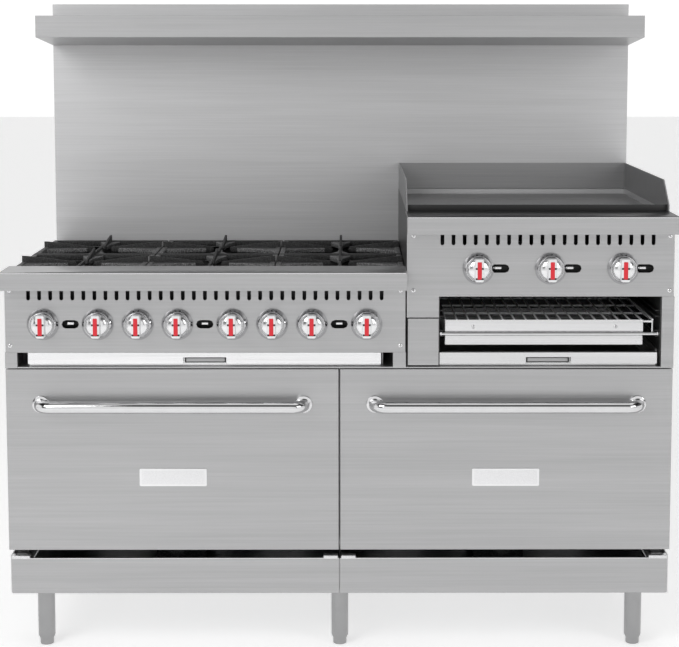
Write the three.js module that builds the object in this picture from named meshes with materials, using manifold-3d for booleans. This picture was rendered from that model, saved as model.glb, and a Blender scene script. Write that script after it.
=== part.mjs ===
// Commercial gas range: six open burners, a raised griddle with a broiler below it, and two ovens.
// Millimetres, +X right, +Y back, +Z up. The origin is on the floor under the middle of the range.
import * as THREE from "three";
import { mergeVertices } from "three/addons/utils/BufferGeometryUtils.js";
import Module from "manifold-3d";

const wasm = await Module();
wasm.setup();

// Driving dimensions
const INCH = 25.4;
const WIDTH = 60 * INCH;
const DEPTH = 838;
const HEIGHT = 1508;
const SIDE = WIDTH / 2;
const FRONT = -DEPTH / 2;
const BACK = DEPTH / 2;
const SHEET = 2;
const PLATE = 3;
const FIT = 0.5;
const GRID = 64;
const FLAT = 0.004;
const FLIP_PASSES = 30;

const LEG_TOP = 139;
const KICK_TOP = 222;
const DOOR_BOTTOM = 245;
const DOOR_TOP = 666;
const DECK_TOP = 672;
const TRAY_BOTTOM = 679;
const TRAY_TOP = 706;
const BODY_TOP = 870;
const COOKTOP_RAIL = { bottom: 854, top: 894, depth: 126 };
const GRIDDLE_RAIL = { bottom: 980, top: 1019, depth: 142 };

const PANEL_Y = FRONT + 48;
const POST_Y = FRONT + 52;
const DOOR_Y = FRONT + 56;
const KICK_Y = FRONT + 66;
const DOOR_THICK = 48;
const FACE_Y = DOOR_Y + DOOR_THICK + 7;
const SECTION_X = -SIDE + 36 * INCH;
const SKIN_X = SIDE - 5.5;
const GUARD_Y = BACK - 57;

const GRATE = 12 * INCH;
const GRATE_COLUMNS = [-2 * GRATE, -GRATE, 0];
const GRATE_ROWS = [-139.5, 165.5];
const GRATE_Z = BODY_TOP + FIT;

const KNOB_Z = 771;
const PAIR_OFFSET = 62;
const BURNER_KNOBS = GRATE_COLUMNS.flatMap((x) => [x - PAIR_OFFSET, x + PAIR_OFFSET]);
const THERMOSTAT_KNOBS = [-GRATE * 1.5, -GRATE * 0.5];
const GRIDDLE_KNOBS = [314.7, 478, 642];
const GRIDDLE_KNOB_Z = 898;
const MANIFOLD_Y = -346;

const OVEN = { width: 660, bottom: 280, top: 630, back: 250, centre: 381 };
const HINGE = { y: DOOR_Y + 22, z: DOOR_BOTTOM + 11, radius: 4 };
const HINGE_ARMS = [15, 747];
const BROILER = { left: 228, right: 729, back: 298, bottom: 708, top: 960 };

const FINISHES = {
  stainless: { color: 0xb6b7b8, roughness: 0.35, metalness: 0.9 },
  bright: { color: 0xdadada, roughness: 0.15, metalness: 1.0 },
  galvanized: { color: 0x9a9c9e, roughness: 0.5, metalness: 0.8 },
  castIron: { color: 0x1c1c1d, roughness: 0.8, metalness: 0.2 },
  griddleSteel: { color: 0x6f7173, roughness: 0.4, metalness: 0.9 },
  enamel: { color: 0x2b2c2e, roughness: 0.35, metalness: 0.1 },
  pipe: { color: 0x3a3a3c, roughness: 0.6, metalness: 0.6 },
};

// Solids from three.js geometry

// Corners sit on a fine grid, so that faces meant to be flush are exactly flush.
function solid(geometry) {
  const bare = geometry.clone();
  bare.deleteAttribute("normal");
  bare.deleteAttribute("uv");
  const corners = bare.attributes.position.array;
  corners.forEach((value, i) => { corners[i] = Math.round(value * GRID) / GRID; });
  const merged = mergeVertices(bare, 1e-3);
  const vertProperties = new Float32Array(merged.attributes.position.array);
  const triVerts = new Uint32Array(merged.index.array);
  return new wasm.Manifold(new wasm.Mesh({ numProp: 3, vertProperties, triVerts }));
}

function join(...pieces) {
  return pieces.flat().reduce((whole, piece) => whole.add(piece));
}

function cut(whole, ...tools) {
  return tools.flat().reduce((rest, tool) => rest.subtract(tool), whole);
}

function place(geometry, where) {
  const position = geometry.attributes.position;
  for (let i = 0; i < position.count; i += 1) {
    position.setXYZ(i, ...where(position.getX(i), position.getY(i), position.getZ(i)));
  }
  return solid(geometry);
}

function box(x0, x1, y0, y1, z0, z1) {
  const unit = new THREE.BoxGeometry(1, 1, 1);
  return place(unit, (x, y, z) => [x < 0 ? x0 : x1, y < 0 ? y0 : y1, z < 0 ? z0 : z1]);
}

// An outline carried along one axis: along "x" it is drawn in (y, z), along "y" in (x, z).
function extrude(shape, axis, from, to) {
  const outline = Array.isArray(shape) ? new THREE.Shape(shape.map((p) => new THREE.Vector2(...p))) : shape;
  const unit = new THREE.ExtrudeGeometry(outline, { depth: 1, bevelEnabled: false, curveSegments: 2 });
  if (axis === "x") return place(unit, (u, v, w) => [w < 0.5 ? from : to, u, v]);
  return place(unit, (u, v, w) => [u, w < 0.5 ? to : from, v]);
}

// A round bar along one axis, between two positions on it, centred at the other two coordinates.
function bar(axis, radius, from, to, a, b, sides = 8) {
  const geometry = new THREE.CylinderGeometry(radius, radius, to - from, sides);
  const middle = (from + to) / 2;
  if (axis === "x") geometry.rotateZ(Math.PI / 2).translate(middle, a, b);
  if (axis === "y") geometry.translate(a, middle, b);
  if (axis === "z") geometry.rotateX(Math.PI / 2).translate(a, b, middle);
  return solid(geometry);
}

// A turned shape about +Z from an (radius, z) outline that starts and ends on the axis.
function turned(outline, sides) {
  const geometry = new THREE.LatheGeometry(outline.map((p) => new THREE.Vector2(...p)), sides);
  return solid(geometry.rotateX(Math.PI / 2));
}

// A box open towards the low end of one axis ("y-" front, "z+" top), with walls of one sheet.
function pan(x0, x1, y0, y1, z0, z1, open, wall = SHEET) {
  const inner = [x0 + wall, x1 - wall, y0 + wall, y1 - wall, z0 + wall, z1 - wall];
  const reach = wall + 1;
  if (open.includes("front")) inner[2] -= reach;
  if (open.includes("back")) inner[3] += reach;
  if (open.includes("bottom")) inner[4] -= reach;
  if (open.includes("top")) inner[5] += reach;
  return cut(box(x0, x1, y0, y1, z0, z1), box(...inner));
}

function obround(x, z, length, height) {
  const r = height / 2;
  const half = length / 2 - r;
  const path = new THREE.Path();
  path.moveTo(x - half, z - r);
  path.absarc(x + half, z, r, -Math.PI / 2, Math.PI / 2);
  path.absarc(x - half, z, r, Math.PI / 2, Math.PI * 1.5);
  return path;
}

// A vent slot with a square top and a rounded foot.
function ventSlot(x, bottom, top, width) {
  const r = width / 2;
  const path = new THREE.Path();
  path.moveTo(x + r, top);
  path.lineTo(x - r, top);
  path.absarc(x, bottom + r, r, Math.PI, Math.PI * 2);
  return path;
}

// Body and casing

function baseChassis() {
  const x = SKIN_X - 1.5;
  const rear = BACK - 7;
  const front = FACE_Y + 6;
  const angle = 28;
  const pieces = [
    box(-x, x, KICK_Y + 7, rear, LEG_TOP, LEG_TOP + PLATE),
    box(-x, x, KICK_Y + 7, KICK_Y + 10, LEG_TOP, KICK_TOP - 4),
    box(-x, x, rear - PLATE, rear, LEG_TOP, KICK_TOP),
    box(-1.5, 1.5, front, rear, LEG_TOP, DECK_TOP - 1),
    cut(
      box(-x, x, POST_Y + 1, rear, DECK_TOP - PLATE, DECK_TOP),
      box(300, 460, 310, 360, DECK_TOP - 5, DECK_TOP + 5),
      box(-460, -300, 310, 360, DECK_TOP - 5, DECK_TOP + 5),
    ),
  ];
  for (const side of [-1, 1]) {
    const xs = [side * (x - angle), side * x].sort((a, b) => a - b);
    const web = [side * (x - PLATE), side * x].sort((a, b) => a - b);
    pieces.push(box(xs[0], xs[1], front, front + PLATE, LEG_TOP, DECK_TOP - 1));
    pieces.push(box(web[0], web[1], front, front + angle, LEG_TOP, DECK_TOP - 1));
    pieces.push(box(xs[0], xs[1], rear - PLATE, rear, LEG_TOP, DECK_TOP - 1));
    pieces.push(box(web[0], web[1], rear - angle, rear, LEG_TOP, DECK_TOP - 1));
  }
  const posts = [
    { x0: -760, x1: -732, web: -735, top: TRAY_TOP - FIT },
    { x0: 122, x1: 151.5, web: 122, top: TRAY_TOP - FIT },
    { x0: 732, x1: 760.5, web: 732, top: 833.5 },
  ];
  for (const post of posts) {
    pieces.push(box(post.x0, post.x1, POST_Y, POST_Y + PLATE, DECK_TOP - PLATE, post.top));
    pieces.push(box(post.web, post.web + PLATE, POST_Y, -300, DECK_TOP - PLATE, post.top));
  }
  const guides = [
    { x: -713, flange: [-735, -711], top: 711.5 },
    { x: 98, flange: [98, 122], top: 711.5 },
    { x: 223.5, flange: [223.5, 225.5], top: 707.5 },
    { x: 726, flange: [726, 728], top: 707.5 },
  ];
  for (const guide of guides) {
    pieces.push(box(guide.x, guide.x + SHEET, -330, 400, DECK_TOP - 1, guide.top));
    pieces.push(box(guide.flange[0], guide.flange[1], -330, 400, guide.top - SHEET, guide.top));
  }
  return join(pieces);
}

function kickPlate(side) {
  const xs = [side * 1, side * (SKIN_X - 0.5)].sort((a, b) => a - b);
  const back = KICK_Y + 6.5;
  return join(
    box(xs[0], xs[1], KICK_Y, KICK_Y + SHEET, LEG_TOP, KICK_TOP),
    box(xs[0], xs[1], KICK_Y, back, KICK_TOP - SHEET, KICK_TOP),
    box(xs[0], xs[1], KICK_Y, back, LEG_TOP, LEG_TOP + SHEET),
  );
}

function sidePanel(side) {
  const rear = BACK - 3;
  const frontFoot = KICK_Y + 4;
  const frontBay = POST_Y + PLATE + FIT;
  const outline = [[frontFoot, LEG_TOP], [rear, LEG_TOP], [rear, BODY_TOP]];
  if (side < 0) {
    outline.push([frontBay, BODY_TOP]);
  } else {
    outline.push([GUARD_Y - FIT, BODY_TOP], [GUARD_Y - FIT, GRIDDLE_RAIL.top]);
    outline.push([FRONT + GRIDDLE_RAIL.depth + 1, GRIDDLE_RAIL.top]);
    outline.push([FRONT + GRIDDLE_RAIL.depth + 1, GRIDDLE_RAIL.top - 5], [frontBay, GRIDDLE_RAIL.top - 5]);
  }
  outline.push([frontBay, DOOR_TOP + 2.5], [FACE_Y - 4, DOOR_TOP + 2.5]);
  outline.push([FACE_Y - 4, DOOR_BOTTOM - 17], [frontFoot, DOOR_BOTTOM - 17]);
  const xs = [side * SKIN_X, side * (SKIN_X + PLATE)].sort((a, b) => a - b);
  return extrude(outline, "x", xs[0], xs[1]);
}

function backPanel() {
  const y = BACK - 6.5;
  const sheet = box(-SKIN_X + FIT, SKIN_X - FIT, y, y + SHEET, LEG_TOP, BODY_TOP - FIT);
  const inlet = bar("y", 16, y - 5, y + 5, 743, 800);
  const vents = [-600, -381, -160, 160, 381, 600].map((x) => box(x - 60, x + 60, y - 5, y + 5, 300, 312));
  return cut(sheet, inlet, vents);
}

function backguard() {
  return pan(-SIDE, SIDE, GUARD_Y, BACK, BODY_TOP + 1, HEIGHT, ["bottom"]);
}

function overshelf() {
  const front = FRONT + 522;
  const back = GUARD_Y - FIT;
  const top = 1474;
  const outline = [[front, 1420], [back, 1400], [back, top], [front, top]];
  const hollow = [
    [front + SHEET, 1420 + SHEET], [back + 5, 1400 + SHEET - 0.4], [back + 5, top - SHEET], [front + SHEET, top - SHEET],
  ];
  return cut(extrude(outline, "x", -SIDE, SIDE), extrude(hollow, "x", -SIDE + SHEET, SIDE - SHEET));
}

function leg() {
  const outline = [
    [0, 0], [16, 0], [16, 13.5], [20, 20], [20, 134], [40, 134],
    [40, LEG_TOP - FIT], [0, LEG_TOP - FIT],
  ];
  return turned(outline, 12);
}

// Ovens and their doors

function ovenLiner(side) {
  const x0 = side * OVEN.centre - OVEN.width / 2;
  const x1 = x0 + OVEN.width;
  const bay = side < 0 ? [-755, -4] : [4, 755];
  const cavity = box(x0, x1, FACE_Y - 9, OVEN.back, OVEN.bottom, OVEN.top);
  const shell = box(x0 - SHEET, x1 + SHEET, FACE_Y, OVEN.back + SHEET, OVEN.bottom - SHEET, OVEN.top + SHEET);
  const flange = box(bay[0], bay[1], FACE_Y, FACE_Y + PLATE, DOOR_BOTTOM + 5, DOOR_TOP + 1);
  const slots = [x0 + 12, x1 - 42].map((x) => box(x, x + 30, -240, 150, OVEN.bottom - 9, OVEN.bottom + 9));
  const flue = box(x0 + 250, x1 - 250, OVEN.back - 9, OVEN.back + 9, OVEN.top - 32, OVEN.top - 12);
  const ledges = [];
  for (const z of [340, 400, 460, 520]) {
    ledges.push(box(x0 - 1, x0 + 12, FACE_Y + 20, OVEN.back - 10, z, z + 5));
    ledges.push(box(x1 - 12, x1 + 1, FACE_Y + 20, OVEN.back - 10, z, z + 5));
  }
  const armSide = HINGE_ARMS.map((x) => (side < 0 ? -x : x));
  const arms = armSide.map((x) => cut(
    box(x - 2, x + 2, HINGE.y - 9, FACE_Y + 1, HINGE.z - 6, HINGE.z + 8),
    bar("x", HINGE.radius + 0.6, x - 5, x + 5, HINGE.y, HINGE.z, 16),
  ));
  return join(cut(join(shell, flange), cavity, slots, flue), ledges, arms);
}

// A flat grid of square wires centred on the lines xs and ys, from z0 to z1.
function wireGrid(xs, ys, wire, z0, z1) {
  const edges = (lines) => lines.flatMap((line) => [line - wire / 2, line + wire / 2]);
  const [ex, ey] = [edges(xs), edges(ys)];
  const inside = (i, j) => i >= 0 && j >= 0 && i < ex.length - 1 && j < ey.length - 1;
  const filled = (i, j) => inside(i, j) && (i % 2 === 0 || j % 2 === 0);
  const corner = (i, j, top) => 2 * (j * ex.length + i) + (top ? 1 : 0);
  const positions = ey.flatMap((y) => ex.flatMap((x) => [x, y, z0, x, y, z1]));
  const index = [];
  const quad = (a, b, c, d) => index.push(a, b, c, a, c, d);
  for (let j = 0; j < ey.length - 1; j += 1) {
    for (let i = 0; i < ex.length - 1; i += 1) {
      if (!filled(i, j)) continue;
      const low = [corner(i, j), corner(i + 1, j), corner(i + 1, j + 1), corner(i, j + 1)];
      const high = low.map((v) => v + 1);
      quad(...high);
      quad(...low.toReversed());
      const beyond = [filled(i, j - 1), filled(i + 1, j), filled(i, j + 1), filled(i - 1, j)];
      beyond.forEach((neighbour, k) => {
        const next = (k + 1) % 4;
        if (!neighbour) quad(low[k], low[next], high[next], high[k]);
      });
    }
  }
  const geometry = new THREE.BufferGeometry();
  geometry.setAttribute("position", new THREE.Float32BufferAttribute(positions, 3));
  geometry.setIndex(index);
  return solid(geometry);
}

function spaced(from, to, gaps) {
  return Array.from({ length: gaps + 1 }, (unused, i) => from + ((to - from) * i) / gaps);
}

function ovenRack() {
  const half = OVEN.width / 2 - 7;
  return wireGrid(spaced(-half, half, 9), spaced(FACE_Y + 33, OVEN.back - 19, 2), 6, 0, 6);
}

function ovenBurner() {
  const z = 232;
  const tube = bar("y", 14, -290, 200, 0, z);
  const throat = bar("y", 20, -298, -262, 0, z);
  const deflector = box(-90, 90, -200, 150, z + 12, z + 15);
  const feet = [-180, 130].map((y) => box(-60, 60, y, y + 12, LEG_TOP + PLATE + FIT, z));
  return join(tube, throat, deflector, feet);
}

function doorSpan(side) {
  return side < 0 ? [-SIDE + 2, -2] : [2, SIDE - 2];
}

function hingeNotches(side) {
  return HINGE_ARMS.map((x) => {
    const at = side * x;
    return box(at - 5, at + 5, HINGE.y - 12, DOOR_Y + DOOR_THICK + 5, DOOR_BOTTOM - 5, HINGE.z + 13);
  });
}

function doorShell(side) {
  const [x0, x1] = doorSpan(side);
  const skin = pan(x0, x1, DOOR_Y, DOOR_Y + DOOR_THICK - 3, DOOR_BOTTOM, DOOR_TOP, ["back"]);
  const pins = side < 0
    ? [[x0 + 1, -743], [-19, x1 - 1]]
    : [[x0 + 1, 19], [743, x1 - 1]];
  const turning = pins.map((p) => bar("x", HINGE.radius, p[0], p[1], HINGE.y, HINGE.z, 16));
  return join(cut(skin, hingeNotches(side)), turning);
}

function doorInner(side) {
  const [x0, x1] = doorSpan(side);
  const inset = SHEET + FIT;
  const lining = pan(x0 + inset, x1 - inset, DOOR_Y + 6, DOOR_Y + DOOR_THICK, DOOR_BOTTOM + inset,
    DOOR_TOP - inset, ["front"]);
  const middle = side * OVEN.centre;
  const raised = box(middle - 320, middle + 320, DOOR_Y + DOOR_THICK - 1, DOOR_Y + DOOR_THICK + 4, 290, 620);
  const passage = box(x0 - 5, x1 + 5, HINGE.y - 8, HINGE.y + 8, HINGE.z - 8, HINGE.z + 8);
  const ends = [[x0, x0 + 24], [x1 - 24, x1]].map((xs) => passage.intersect(
    box(xs[0], xs[1], -SIDE, SIDE, 0, HEIGHT),
  ));
  return cut(join(lining, raised), hingeNotches(side), ends);
}

function doorHandle() {
  const reach = 37;
  const half = 300;
  const bend = 26;
  const steps = 5;
  const at = (x, y) => new THREE.Vector3(x, y, 0);
  const leftBend = new THREE.QuadraticBezierCurve3(at(-half, bend - reach), at(-half, -reach), at(bend - half, -reach));
  const rightBend = new THREE.QuadraticBezierCurve3(at(half - bend, -reach), at(half, -reach), at(half, bend - reach));
  const points = [at(-half, -FIT), ...leftBend.getPoints(steps), ...rightBend.getPoints(steps), at(half, -FIT)];
  return sweep(points, 14, 10);
}

// A round section carried along a flat run of points in the (x, y) plane, mitred at each point.
function sweep(points, radius, sides) {
  const positions = [];
  const index = [];
  points.forEach((point, i) => {
    const before = points[Math.max(i - 1, 0)];
    const after = points[Math.min(i + 1, points.length - 1)];
    const inward = point.clone().sub(before).normalize();
    const outward = after.clone().sub(point).normalize();
    const along = inward.clone().add(outward).normalize();
    const across = new THREE.Vector3(-along.y, along.x, 0);
    const mitre = 1 / Math.max(along.dot(outward.lengthSq() > 0 ? outward : inward), 0.5);
    for (let k = 0; k < sides; k += 1) {
      const angle = (2 * Math.PI * k) / sides;
      const p = point.clone().addScaledVector(across, radius * Math.cos(angle) * mitre);
      positions.push(p.x, p.y, p.z + radius * Math.sin(angle));
    }
  });
  for (let i = 0; i < points.length - 1; i += 1) {
    for (let k = 0; k < sides; k += 1) {
      const a = i * sides + k;
      const b = i * sides + ((k + 1) % sides);
      index.push(a, b, a + sides, b, b + sides, a + sides);
    }
  }
  const last = (points.length - 1) * sides;
  for (let k = 1; k < sides - 1; k += 1) {
    index.push(0, k + 1, k);
    index.push(last, last + k, last + k + 1);
  }
  const geometry = new THREE.BufferGeometry();
  geometry.setAttribute("position", new THREE.Float32BufferAttribute(positions, 3));
  geometry.setIndex(index);
  return solid(geometry);
}

// Open-burner section

function burnerBox() {
  const walls = pan(-SKIN_X + 1, SECTION_X - 2.9, -330, GUARD_Y - 2, 712, BODY_TOP - 2, ["bottom", "top"]);
  const holes = BURNER_KNOBS.map((x) => bar("y", 19, -340, -320, x, KNOB_Z));
  const inside = [-SKIN_X + 2, SECTION_X - 4];
  const rests = [-148, 157].map((y) => box(inside[0], inside[1], y, y + 20, 749, 755));
  const middle = box(inside[0], inside[1], 8, 20, BODY_TOP - 14, BODY_TOP - 2);
  const landing = box(inside[0], inside[1], 320, GUARD_Y - 3, BODY_TOP - 4, BODY_TOP - 2);
  return join(cut(walls, holes), rests, middle, landing);
}

function burnerPair() {
  const pieces = [];
  GRATE_ROWS.forEach((y, row) => {
    const x = row === 0 ? -PAIR_OFFSET : PAIR_OFFSET;
    const head = [[0, 826], [46, 829], [60, 840], [60, 848], [50, 854], [18, 858], [0, 858]];
    pieces.push(turned(head, 12).translate([0, y, 0]));
    pieces.push(bar("z", 18, KNOB_Z - 14, 830, 0, y));
    pieces.push(bar("y", 14, -316, y, x, KNOB_Z));
    pieces.push(bar("x", 14, Math.min(x, 0), Math.max(x, 0), y, KNOB_Z));
  });
  pieces.push(box(-PAIR_OFFSET, PAIR_OFFSET, -250, -238, KNOB_Z - 6, KNOB_Z + 6));
  return join(pieces);
}

function rail(x0, x1, size, ends) {
  const back = FRONT + size.depth;
  const pieces = [
    box(x0, x1, FRONT, FRONT + SHEET, size.bottom, size.top),
    box(x0, x1, FRONT, back, size.top - SHEET, size.top),
    box(x0, x1, FRONT, PANEL_Y - FIT, size.bottom, size.bottom + SHEET),
  ];
  for (const end of ends) pieces.push(box(end.x0, end.x1, FRONT, end.back, size.bottom, size.top));
  return join(pieces);
}

function panelSheet(outline, slots, knobs, knobZ, pilots) {
  const shape = new THREE.Shape(outline.map((p) => new THREE.Vector2(...p)));
  for (let i = 0; i < slots.count; i += 1) {
    shape.holes.push(ventSlot(slots.x + i * slots.pitch, slots.bottom, slots.top, 8.5));
  }
  for (const x of knobs) {
    const hole = new THREE.Path();
    hole.absarc(x, knobZ, 8, 0, Math.PI * 2);
    shape.holes.push(hole);
  }
  for (const pilot of pilots) shape.holes.push(obround(pilot.x, knobZ, pilot.length, 19));
  return extrude(shape, "y", PANEL_Y, PANEL_Y + SHEET);
}

function cooktopPanel() {
  const x0 = -SKIN_X + FIT;
  const x1 = SECTION_X - 2.4;
  const top = COOKTOP_RAIL.top - 5;
  const outline = [[x0, TRAY_TOP], [x1, TRAY_TOP], [x1, top], [x0, top]];
  const slots = { count: 33, x: -704, pitch: 25, bottom: 825.6, top: 864 };
  const pilots = GRATE_COLUMNS.map((x) => ({ x, length: 39 }));
  const sheet = panelSheet(outline, slots, [...BURNER_KNOBS, ...THERMOSTAT_KNOBS], KNOB_Z, pilots);
  return join(sheet, box(x0, x1, PANEL_Y, -334, TRAY_TOP, TRAY_TOP + SHEET));
}

function griddlePanel() {
  const x0 = SECTION_X + 0.6;
  const x1 = SKIN_X - FIT;
  const top = GRIDDLE_RAIL.top - 5;
  const outline = [[x0, 786], [226, 786], [226, 834], [x1, 834], [x1, top], [x0, top]];
  const slots = { count: 20, x: 233, pitch: 25.1, bottom: 951, top: 990 };
  const pilots = GRIDDLE_KNOBS.map((x) => ({ x: x + 45, length: 50 }));
  const sheet = panelSheet(outline, slots, GRIDDLE_KNOBS, GRIDDLE_KNOB_Z, pilots);
  return join(sheet, box(226.5, x1, PANEL_Y, POST_Y, 834, 834 + SHEET));
}

function gasManifold() {
  const pieces = [
    bar("x", 12, -720, 202, MANIFOLD_Y, KNOB_Z),
    bar("z", 12, KNOB_Z - 12, GRIDDLE_KNOB_Z + 12, 190, MANIFOLD_Y),
    bar("x", 12, 178, 753, MANIFOLD_Y, GRIDDLE_KNOB_Z),
    bar("y", 10, MANIFOLD_Y, 340, 743, GRIDDLE_KNOB_Z),
    bar("z", 10, 790, GRIDDLE_KNOB_Z + 9, 743, 330),
    bar("y", 10, 320, BACK - 1, 743, 800),
  ];
  const valve = (x, z, jet) => {
    pieces.push(box(x - 14, x + 14, MANIFOLD_Y - 18, MANIFOLD_Y + 4, z - 14, z + 14));
    pieces.push(bar("y", 4, PANEL_Y - 12, MANIFOLD_Y, x, z, 6));
    if (jet) pieces.push(bar("y", 6, MANIFOLD_Y, -320, x, z, 6));
  };
  for (const x of BURNER_KNOBS) valve(x, KNOB_Z, true);
  for (const x of THERMOSTAT_KNOBS) valve(x, KNOB_Z, false);
  for (const x of GRIDDLE_KNOBS) valve(x, GRIDDLE_KNOB_Z, true);
  return join(pieces);
}

function knob() {
  const outline = [[0, 14], [5.5, 14], [5.5, 0], [36, 0], [36, 5], [28, 15], [18, 25], [0, 27]];
  const skirt = turned(outline, 14);
  const grip = box(-10, 10, -25, 25, 20, 42);
  return join(skirt, grip);
}

function grate() {
  const half = GRATE / 2 - 1.2;
  const rim = 12;
  const height = 14;
  const top = 29;
  const frame = cut(
    box(-half, half, -half, half, 0, height),
    box(-half + rim, half - rim, -half + rim, half - rim, -1, height + 1),
  );
  const blade = [[half, 0], [half, height], [half - 20, top], [44, top - 6], [32, 16], [40, 8]];
  const fingers = [];
  for (const side of [-1, 1]) {
    const outline = blade.map(([r, z]) => [side * r, z]);
    fingers.push(extrude(outline, "x", -4, 4));
    fingers.push(extrude(outline, "y", -4, 4));
  }
  return join(frame, fingers);
}

// A low pan behind a folded lip that is open below, with a finger notch in the lip's lower edge.
function slidingTray(x0, x1, notch) {
  const lip = POST_Y + 1;
  const top = TRAY_TOP - 1;
  const body = pan(x0 + 1, x1 - 1, lip + 14.5, 340, DECK_TOP + FIT, TRAY_TOP - 6, ["top"]);
  const fold = cut(
    box(x0, x1, lip, lip + 16, TRAY_BOTTOM, top),
    box(x0 - 1, x1 + 1, lip + SHEET, lip + 14, TRAY_BOTTOM - 1, top - SHEET),
    box(notch[0], notch[1], lip - 1, lip + 5, TRAY_BOTTOM - 1, TRAY_BOTTOM + 15),
  );
  return join(body, fold);
}

// Griddle and broiler section

function broilerBox() {
  const wallX = SECTION_X + 1.1;
  const top = GRIDDLE_RAIL.top;
  const ledge = FRONT + GRIDDLE_RAIL.depth + 1;
  const outline = [
    [POST_Y + 1, DECK_TOP + FIT], [GUARD_Y - 2, DECK_TOP + FIT], [GUARD_Y - 2, top], [ledge, top],
    [ledge, top - 5], [POST_Y + 1, top - 5],
  ];
  const outer = cut(extrude(outline, "x", wallX, wallX + SHEET), bar("x", 15, 140, 170, MANIFOLD_Y, KNOB_Z));
  const { left, right, back, bottom } = BROILER;
  const pipeHole = bar("x", 15, left - 8, right + 8, MANIFOLD_Y, GRIDDLE_KNOB_Z);
  const pieces = [
    outer,
    cut(box(left - SHEET, left, POST_Y + 1, back, bottom, BROILER.top), pipeHole),
    cut(box(right, right + SHEET, POST_Y + 1, back, bottom, BROILER.top), pipeHole),
    box(wallX, right + SHEET, back, back + SHEET, bottom, BROILER.top),
    box(left - 1, right + 1, -210, -190, 873, 879.5),
    box(left - 1, right + 1, 150, 170, 873, 879.5),
  ];
  for (const z of [739, 785]) {
    for (const x of [[left - 1, left + 9], [right - 9, right + 1]]) {
      pieces.push(box(x[0], x[1], -352, 285, z, z + SHEET));
      pieces.push(box(x[0], x[1], -352, 285, z + 13, z + 13 + SHEET));
    }
  }
  return join(pieces);
}

function broilerBurner() {
  const tubes = GRIDDLE_KNOBS.map((x) => bar("y", 18, -316, 210, x, GRIDDLE_KNOB_Z));
  const ties = [-170, 120].map((y) => box(GRIDDLE_KNOBS[0], GRIDDLE_KNOBS[2], y, y + 12, 892, 904));
  return join(tubes, ties);
}

function broilerRack() {
  const rodZ = 746;
  const rod = 4;
  const x0 = BROILER.left + 5;
  const x1 = BROILER.right - 5;
  const front = PANEL_Y + 13;
  const back = 270;
  const grid = wireGrid(spaced(x0 + 9, x1 - 9, 14), spaced(front + 9, back - 6, 3), 5, 774, 779);
  const slider = wireGrid([x0, x1], [front + rod, back - rod], 2 * rod, rodZ - rod, rodZ + rod);
  const posts = [x0 + 9, x1 - 9].map((x) => [front + 4, back - 5].map(
    (y) => box(x - 2, x + 2, y - 2, y + 2, rodZ, 776),
  ));
  const reach = box(x0 + 7, x1 - 7, front + 3, front + 8, 775, 778);
  return join(box(241, 693, front + 5, front + 7, 719, 778), slider, grid, reach, posts.flat());
}

function griddlePlate() {
  const x0 = 158;
  const x1 = SKIN_X - FIT;
  const back = GUARD_Y - 6;
  const troughFront = FRONT + GRIDDLE_RAIL.depth + 1;
  const trough = pan(x0, x1, troughFront, -226, 975, 1006, ["top"], PLATE);
  const chute = { x: 190, y: -252, radius: 14, bore: 10 };
  const drop = bar("z", chute.radius, 800, 977, chute.x, chute.y);
  return cut(
    join(
      trough,
      box(x0, x1, -230, back, 988, 1006),
      box(x0, x1, troughFront, troughFront + PLATE, 975, 1034),
      drop,
    ),
    bar("z", chute.bore, 790, 985, chute.x, chute.y),
  );
}

function griddleSplash() {
  const base = GRIDDLE_RAIL.top + FIT;
  const [x0, x1] = [SECTION_X + 1.6, SIDE - 2];
  const walls = pan(x0, x1, -289, GUARD_Y - 1, base, 1088, ["front", "bottom", "top"], PLATE);
  const slope = [[-301, 1025], [-205, 1097], [-301, 1097]];
  return cut(walls, extrude(slope, "x", x0 - 5, x1 + 5));
}

function greaseDrawer() {
  const front = PANEL_Y - 2;
  return join(
    box(SECTION_X + 3.5, 225.5, front, front + SHEET, 677, 784),
    pan(159, 220.5, front + 1, 250, 677, 758, ["top"]),
  );
}

// Assembly

// The corners and faces of a joined solid, with corners that share a grid point made one.
function weld(mesh) {
  const seen = new Map();
  const corners = [];
  const welded = [];
  for (let i = 0; i < mesh.vertProperties.length; i += 3) {
    const corner = Array.from(mesh.vertProperties.slice(i, i + 3), (v) => Math.round(v * GRID) / GRID);
    const key = corner.join();
    if (!seen.has(key)) {
      seen.set(key, corners.length);
      corners.push(new THREE.Vector3(...corner));
    }
    welded.push(seen.get(key));
  }
  const faces = [];
  for (let i = 0; i < mesh.triVerts.length; i += 3) {
    const face = Array.from(mesh.triVerts.slice(i, i + 3), (v) => welded[v]);
    if (new Set(face).size === 3) faces.push(face);
  }
  return { corners, faces };
}

// A face turned so that its longest edge runs from its first corner to its second, with its height.
function measure(face, corners) {
  const turns = [face, [face[1], face[2], face[0]], [face[2], face[0], face[1]]];
  const length = (turn) => corners[turn[0]].distanceTo(corners[turn[1]]);
  const [longest] = turns.sort((p, q) => length(q) - length(p));
  const area = new THREE.Triangle(...longest.map((c) => corners[c])).getArea();
  return { turn: longest, height: (2 * area) / length(longest) };
}

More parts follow.
